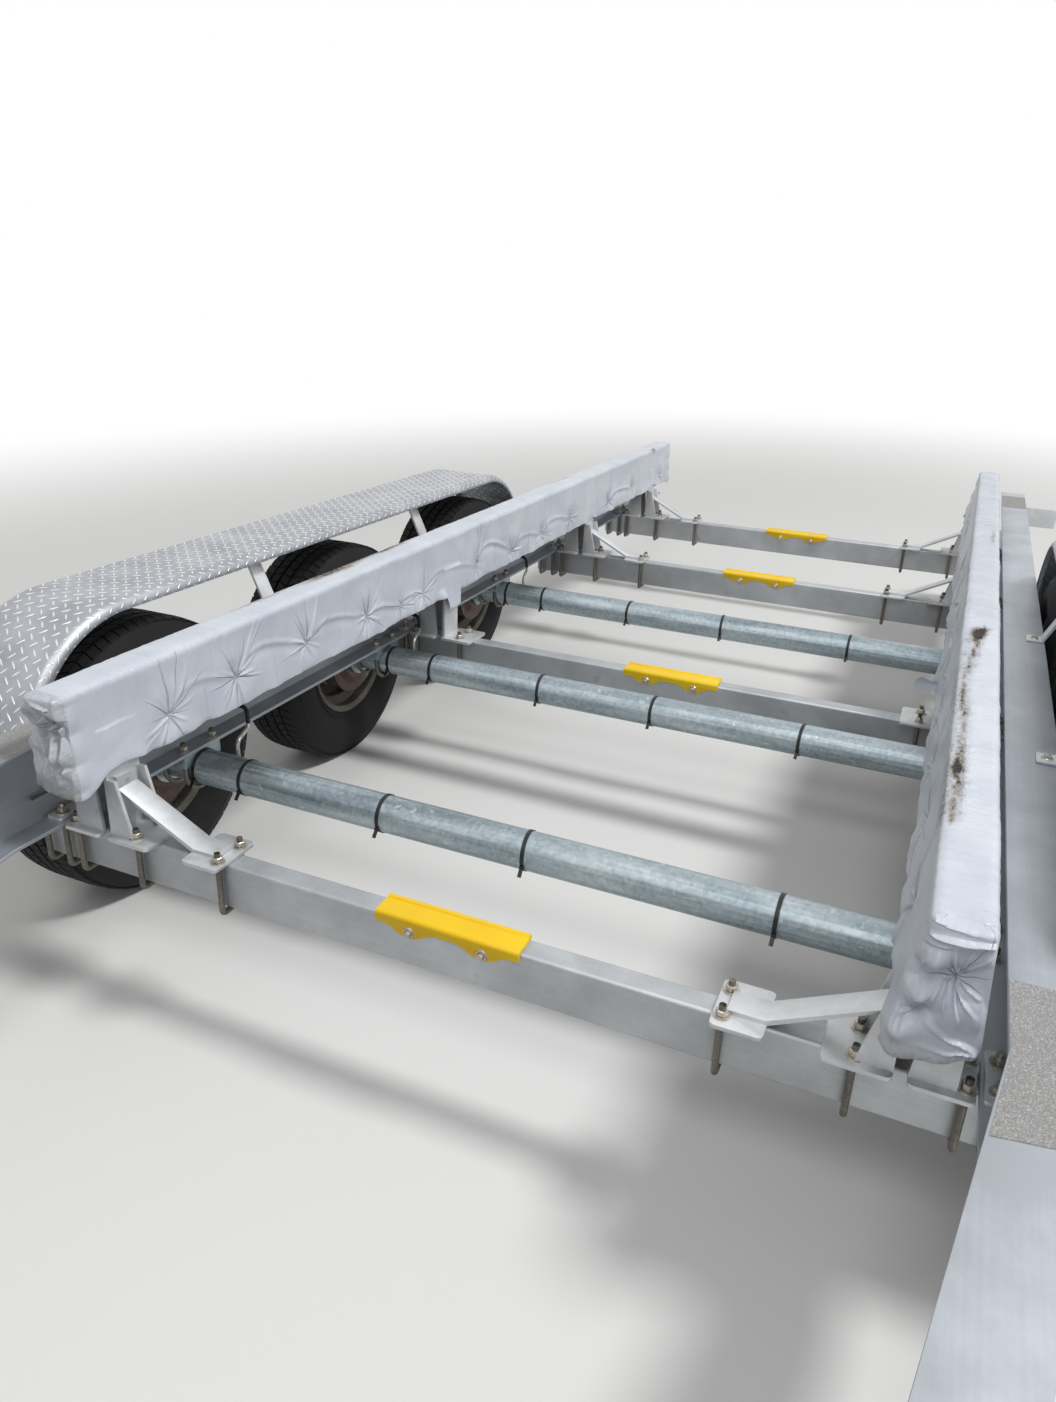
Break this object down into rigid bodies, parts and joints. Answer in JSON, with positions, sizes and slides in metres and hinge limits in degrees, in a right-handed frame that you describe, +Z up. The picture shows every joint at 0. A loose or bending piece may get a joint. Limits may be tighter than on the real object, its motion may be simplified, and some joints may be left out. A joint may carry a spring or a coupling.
{
  "type": "tri-axle bunk boat trailer",
  "caption": "Aluminium I-beam boat trailer on three axles, with wrapped bunks, yellow keel pads, tread-plate fenders, tongue with ball coupler, winch post and jack.",
  "frame": {"origin": "on the ground at the middle of the overall length and width", "axes": "+Y to the rear along the trailer, +Z up, +X to the right as seen from the hitch looking back"},
  "size_m": [2.59, 8.1008, 1.3314],
  "materials": {
    "aluminium": "mill-finish aluminium, dull and lightly streaked",
    "galvanised_steel": "hot-dip galvanised steel, pale spangle",
    "tread_plate": "bright aluminium tread plate",
    "wrap": "thin white shrink wrap, creased and puckered",
    "timber": "treated softwood",
    "yellow_plastic": "moulded bright yellow plastic",
    "tyre_rubber": "black tyre rubber, dusty",
    "rusted_steel": "brown surface rust on cast and pressed steel",
    "rim_steel": "galvanised pressed steel rim",
    "zinc_steel": "zinc-plated steel",
    "black_rubber": "black rubber",
    "strap_webbing": "dark woven webbing",
    "red_lens": "red lamp lens",
    "brake_pipe": "coated steel brake pipe",
    "hose": "black hose with a bright braid at its lower end"
  },
  "bodies": {
    "frame": {"axle_1": "galvanised_steel", "axle_2": "galvanised_steel", "axle_3": "galvanised_steel", "axle_saddles": "galvanised_steel", "bow_roller": "black_rubber", "brake_hoses": "hose", "brake_pipes": "brake_pipe", "brake_plates": "rusted_steel", "bunk_board_left": "timber", "bunk_board_right": "timber", "bunk_braces": "aluminium", "bunk_brackets": "aluminium", "bunk_wrap_left": "wrap", "bunk_wrap_right": "wrap", "coupler_case": "zinc_steel", "coupler_head": "zinc_steel", "coupler_latch": "zinc_steel", "crossmembers": "aluminium", "fender_left": "tread_plate", "fender_right": "tread_plate", "fender_straps": "aluminium", "jack_tube": "zinc_steel", "keel_pads": "yellow_plastic", "lamp_brackets": "zinc_steel", "marker_lamps": "red_lens", "rail_clamps": "aluminium", "rail_left": "aluminium", "rail_right": "aluminium", "tail_lamps": "red_lens", "tongue": "aluminium", "winch_drum": "strap_webbing", "winch_frame": "zinc_steel", "winch_handle": "zinc_steel", "winch_post": "aluminium"},
    "wheel_left_1": {"rim_left_1": "rim_steel", "tyre_left_1": "tyre_rubber"},
    "wheel_left_2": {"rim_left_2": "rim_steel", "tyre_left_2": "tyre_rubber"},
    "wheel_left_3": {"rim_left_3": "rim_steel", "tyre_left_3": "tyre_rubber"},
    "wheel_right_1": {"rim_right_1": "rim_steel", "tyre_right_1": "tyre_rubber"},
    "wheel_right_2": {"rim_right_2": "rim_steel", "tyre_right_2": "tyre_rubber"},
    "wheel_right_3": {"rim_right_3": "rim_steel", "tyre_right_3": "tyre_rubber"},
    "jack_leg": {"jack_leg": "zinc_steel"}
  },
  "joints": [
    {"name": "wheel_left_1_spin", "type": "hinge", "parent": "frame", "child": "wheel_left_1", "pos_m": [-1.14, 0.12341, 0.358], "axis": [1, 0, 0], "continuous": true},
    {"name": "wheel_left_2_spin", "type": "hinge", "parent": "frame", "child": "wheel_left_2", "pos_m": [-1.14, 1.01041, 0.358], "axis": [1, 0, 0], "continuous": true},
    {"name": "wheel_left_3_spin", "type": "hinge", "parent": "frame", "child": "wheel_left_3", "pos_m": [-1.14, 1.89741, 0.358], "axis": [1, 0, 0], "continuous": true},
    {"name": "wheel_right_1_spin", "type": "hinge", "parent": "frame", "child": "wheel_right_1", "pos_m": [1.14, 0.12341, 0.358], "axis": [1, 0, 0], "continuous": true},
    {"name": "wheel_right_2_spin", "type": "hinge", "parent": "frame", "child": "wheel_right_2", "pos_m": [1.14, 1.01041, 0.358], "axis": [1, 0, 0], "continuous": true},
    {"name": "wheel_right_3_spin", "type": "hinge", "parent": "frame", "child": "wheel_right_3", "pos_m": [1.14, 1.89741, 0.358], "axis": [1, 0, 0], "continuous": true},
    {"name": "jack_slide", "type": "slide", "parent": "frame", "child": "jack_leg", "axis": [0, 0, 1], "range_m": [-0.08, 0.25]}
  ]
}
